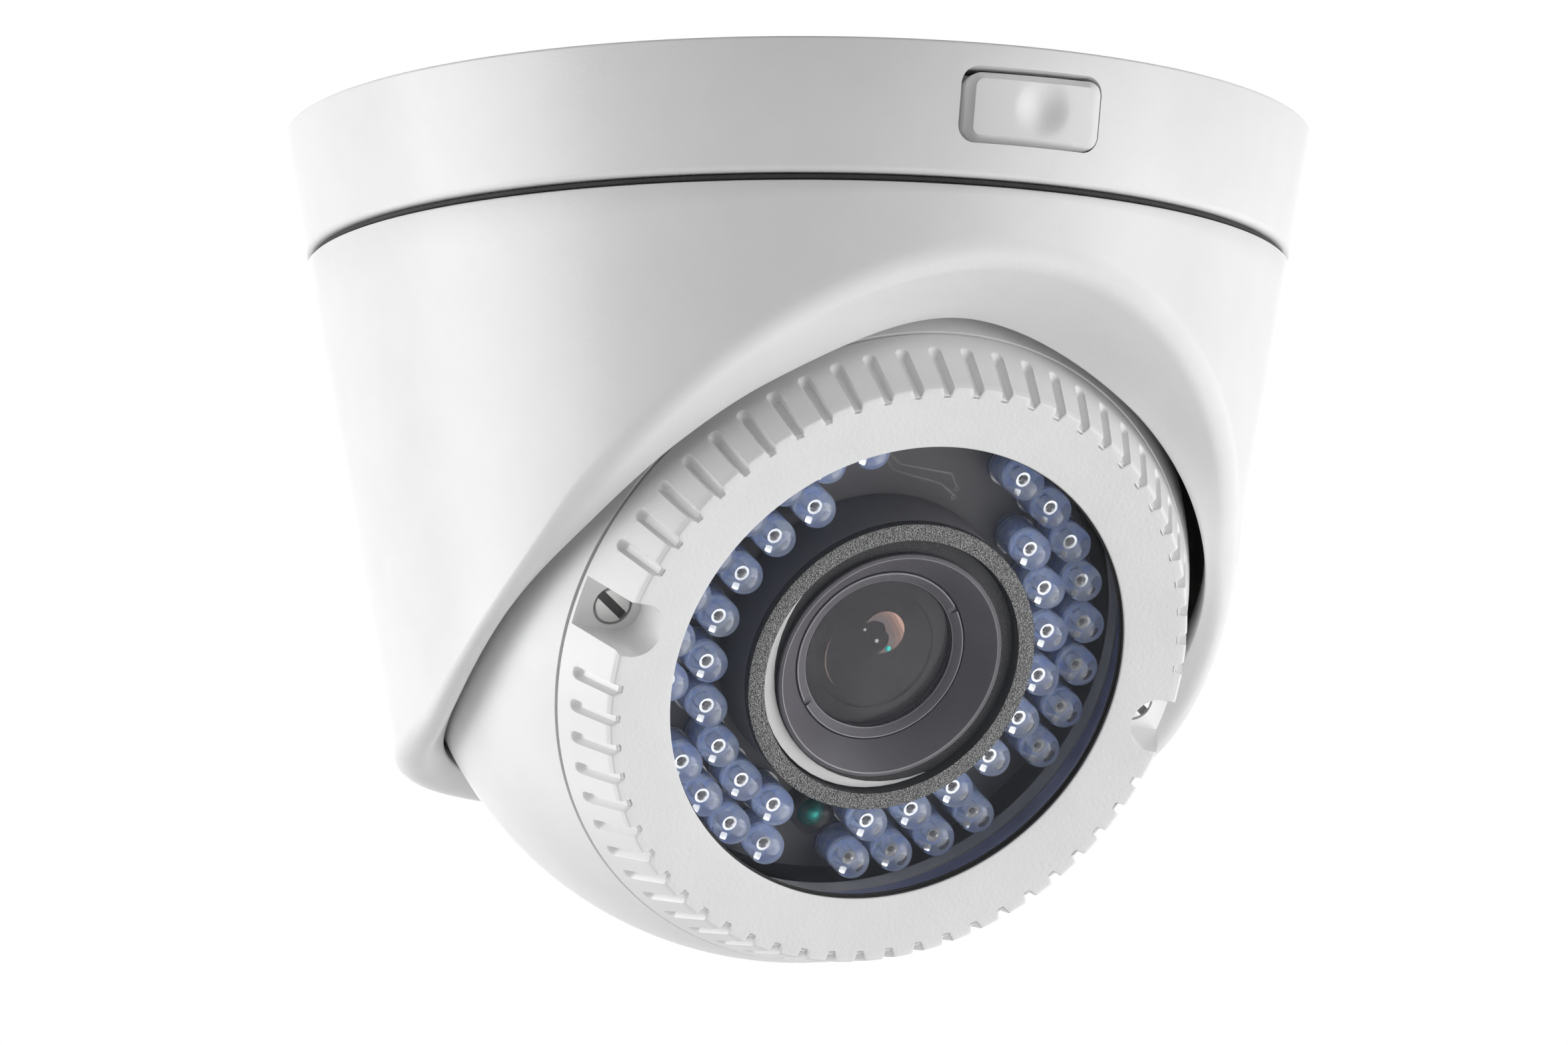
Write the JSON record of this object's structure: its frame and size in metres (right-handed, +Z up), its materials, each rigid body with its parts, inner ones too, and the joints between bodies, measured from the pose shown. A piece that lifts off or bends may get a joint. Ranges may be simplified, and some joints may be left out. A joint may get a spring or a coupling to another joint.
{
  "type": "ceiling turret camera",
  "caption": "Ceiling security camera: round base, turning scooped shell and a tilting ball with a grooved bezel, window, infrared lamps and a zoom lens.",
  "frame": {"origin": "centre of the base's flat face, where it meets the ceiling", "axes": "+Z up into the ceiling, the lens looks towards -Y and down"},
  "size_m": [0.138, 0.138, 0.1102],
  "materials": {
    "white_paint": "satin white paint",
    "white_plastic": "satin",
    "black_rubber": "matt",
    "black_plastic": "matt",
    "grey_foam": "matt cellular foam",
    "clear_window": "clear, polished",
    "lens_glass": "coated, polished",
    "filter_glass": "coated, polished",
    "dark_board": "solder mask",
    "barrel_paint": "satin black",
    "steel": "plain",
    "bronze": "plain",
    "chip": "glossy"
  },
  "bodies": {
    "base": {"mounting_base": "white_paint", "turn_ring": "steel", "ring_screw_1": "steel", "ring_screw_2": "steel", "ring_screw_3": "steel", "base_seal": "black_rubber", "cable_grommet": "black_rubber", "button_spring": "steel"},
    "button": {"release_button": "white_plastic"},
    "shell": {"shell": "white_paint", "pivot_bush_left": "bronze", "pivot_bush_right": "bronze"},
    "yoke": {"tilt_yoke": "steel", "friction_washer": "bronze", "roll_pivot": "steel", "pivot_nut": "bronze"},
    "ball": {"ball_front": "white_paint", "ball_rear": "white_paint", "front_bezel": "white_paint", "bezel_screw_1": "steel", "bezel_screw_2": "steel", "window": "clear_window", "window_gasket": "black_rubber", "window_retainer": "black_plastic", "foam_ring": "grey_foam", "led_board": "dark_board", "light_sensor": "black_plastic", "lens_barrel": "barrel_paint", "lens_front_glass": "lens_glass", "lens_retaining_ring": "barrel_paint", "lens_holder": "black_plastic", "sensor_board": "dark_board", "image_sensor": "chip", "sensor_spacer_1": "steel", "sensor_spacer_2": "steel", "sensor_spacer_3": "steel", "sensor_spacer_4": "steel", "module_plate": "steel", "lamp_post_1": "steel", "lamp_post_2": "steel", "lamp_post_3": "steel", "main_board": "dark_board", "main_spacer_1": "steel", "main_spacer_2": "steel", "main_spacer_3": "steel"},
    "zoom": {"zoom_ring": "black_plastic", "zoom_lever": "steel"},
    "focus": {"focus_ring": "black_plastic", "focus_lever": "steel"},
    "filter": {"filter_slide": "black_plastic", "infrared_filter": "filter_glass", "clear_filter": "clear_window"}
  },
  "joints": [
    {"name": "pan", "type": "hinge", "parent": "base", "child": "shell", "pos_m": [0, 0, -0.0577], "axis": [0, 0, 1], "range_deg": [-177.5, 177.5]},
    {"name": "tilt", "type": "hinge", "parent": "shell", "child": "yoke", "pos_m": [0, 0, -0.0577], "axis": [1, 0, 0], "range_deg": [-15, 60]},
    {"name": "roll", "type": "hinge", "parent": "yoke", "child": "ball", "pos_m": [0, 0, -0.0577], "axis": [0, -0.866, -0.5], "range_deg": [-177.5, 177.5]},
    {"name": "release_button", "type": "slide", "parent": "base", "child": "button", "axis": [0, 1, 0], "range_m": [0, 0.002], "stiffness_N_per_m": 800, "deforming": ["button_spring"]},
    {"name": "zoom", "type": "hinge", "parent": "ball", "child": "zoom", "pos_m": [0, 0, -0.0577], "axis": [0, -0.866, -0.5], "range_deg": [-40, 40]},
    {"name": "focus", "type": "hinge", "parent": "ball", "child": "focus", "pos_m": [0, 0, -0.0577], "axis": [0, -0.866, -0.5], "range_deg": [-40, 40]},
    {"name": "filter_shift", "type": "slide", "parent": "ball", "child": "filter", "axis": [0.9932, 0.0583, -0.101], "range_m": [-0.015, 0]}
  ]
}
